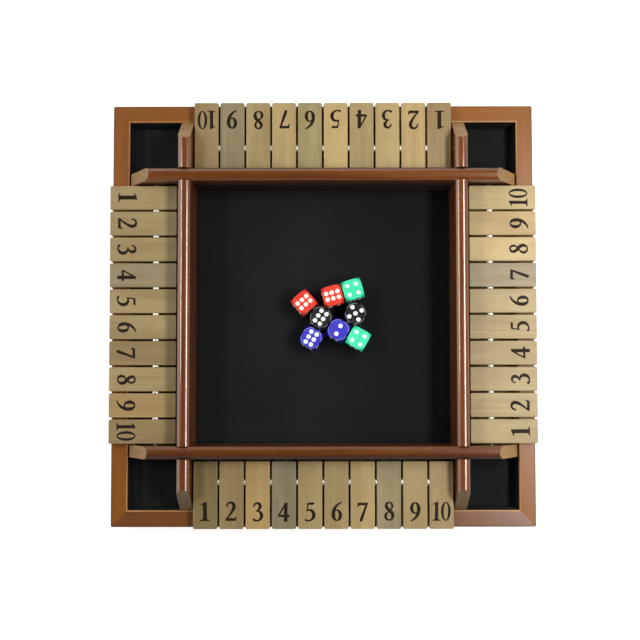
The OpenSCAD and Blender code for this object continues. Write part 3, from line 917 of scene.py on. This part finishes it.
CAST = [m.m for m in ACRYLICS["red"]]
TOPS = {"die_red_a": 6, "die_red_b": 6, "die_green_a": 4, "die_green_b": 4, "die_blue_a": 6, "die_blue_b": 2, "die_black_a": 6, "die_black_b": 5}
DIE_CACHE = {}
for node, (x, y, turn) in DICE.items():
    colour = node.split("_")[1]
    key = (TOPS[node], node == "die_blue_b", *((7.15, 0.36) if colour in ("blue", "black") else (DIE_FACE, 0.2)))
    if key not in DIE_CACHE:
        DIE_CACHE[key] = die_mesh(f"die_top_{len(DIE_CACHE)}", *key)
    me = DIE_CACHE[key].copy()
    me.name = node + "_cast"
    me.transform(Matrix.Translation((x * MM, y * MM, (Z_FELT + 0.05 + DIE_E / 2) * MM)) @ Matrix.Rotation(math.radians(turn), 4, "Z"))
    for k, m in enumerate(me.materials):
        me.materials[k] = ACRYLICS[colour][CAST.index(m)].m
    o = new_object(node + "_cast", me, node, f"{colour}_acrylic")
    finish_mesh(o, 24)
    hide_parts(node)

# ---------------------------------------------------------------- stage, light, camera
bm = bmesh.new()
bmesh.ops.create_grid(bm, x_segments=8, y_segments=8, size=16.0)
floor_me = bpy.data.meshes.new("floor")
bm.to_mesh(floor_me)
bm.free()
floor = bpy.data.objects.new("floor", floor_me)
bpy.context.scene.collection.objects.link(floor)
fm = Mat("floor_paper", Roughness=0.9)
fn = fm.noise(fm.coords((300, 300, 300)), 1.0, 3, 0.6)
fm.set("Base Color", fm.mix(fm.span(fn, 0.3, 0.7), (0.46, 0.46, 0.46), (0.44, 0.44, 0.44)))
fm.set("Specular IOR Level", 0.1)
fm.set("Emission Color", (1.0, 1.0, 1.0))
fm.set("Emission Strength", 0.78)
floor.data.materials.append(fm.m)


def softbox(name, place, aim, size, power, colour=(1, 1, 1)):
    li = bpy.data.lights.new(name, "AREA")
    li.shape = "RECTANGLE"
    li.size, li.size_y = size
    li.energy = power
    li.color = colour
    o = bpy.data.objects.new(name, li)
    bpy.context.scene.collection.objects.link(o)
    o.location = place
    d = Vector(aim) - Vector(place)
    o.rotation_euler = d.to_track_quat("-Z", "Y").to_euler()
    return o


softbox("key_right", (0.34, 0.02, 0.46), (0, 0.02, 0.02), (0.48, 0.11), 3.25, (1.0, 0.985, 0.955))
softbox("key_left", (-0.47, 0.13, 0.48), (0, 0.13, 0.02), (0.34, 0.045), 1.3, (1.0, 0.99, 0.98))

world = bpy.data.worlds.new("studio")
bpy.context.scene.world = world
world.use_nodes = True
# a dim ceiling over surroundings that are bright behind the board and on its left
wt = world.node_tree
sky = wt.nodes["Background"]
sky.inputs["Strength"].default_value = 1.0


def sky_span(socket, lo, hi, to_lo, to_hi):
    n = wt.nodes.new("ShaderNodeMapRange")
    n.interpolation_type = "SMOOTHSTEP"
    wt.links.new(socket, n.inputs["Value"])
    for key, v in zip(("From Min", "From Max", "To Min", "To Max"), (lo, hi, to_lo, to_hi)):
        n.inputs[key].default_value = v
    return n.outputs["Result"]


towards = wt.nodes.new("ShaderNodeSeparateXYZ")
wt.links.new(wt.nodes.new("ShaderNodeTexCoord").outputs["Generated"], towards.inputs[0])
sides = wt.nodes.new("ShaderNodeMath")
sides.operation = "ADD"
wt.links.new(sky_span(towards.outputs["Y"], 0.05, 0.75, 0.05, 0.90), sides.inputs[0])
wt.links.new(sky_span(towards.outputs["X"], -0.75, -0.05, 1.45, 0.08), sides.inputs[1])
both = wt.nodes.new("ShaderNodeMath")
both.operation = "MULTIPLY"
wt.links.new(sky_span(towards.outputs["Z"], 0.42, 0.85, 1.0, 0.02), both.inputs[0])
wt.links.new(sides.outputs[0], both.inputs[1])
# the pale sweep behind the floor's far edge
sweep = wt.nodes.new("ShaderNodeMath")
sweep.operation = "MAXIMUM"
wt.links.new(both.outputs[0], sweep.inputs[0])
wt.links.new(sky_span(towards.outputs["Z"], 0.10, 0.20, 1.0, 0.0), sweep.inputs[1])
wt.links.new(sweep.outputs[0], sky.inputs["Color"])

cam = bpy.data.cameras.new("camera")
cam.sensor_fit = "HORIZONTAL"
cam.sensor_width = 36.0
cam.lens = 39.026
cam.shift_x = -0.00188
cam.shift_y = 0.06443
cam.clip_start, cam.clip_end = 0.01, 20.0
cam_o = bpy.data.objects.new("camera", cam)
bpy.context.scene.collection.objects.link(cam_o)
cam_o.location = (-0.0011218, -0.0491691, 0.5198)
cam_o.rotation_euler = (0.03092547, 0.00056959, -0.00131724)
bpy.context.scene.camera = cam_o
bpy.context.scene.view_settings.view_transform = "Standard"
bpy.context.scene.view_settings.look = "None"
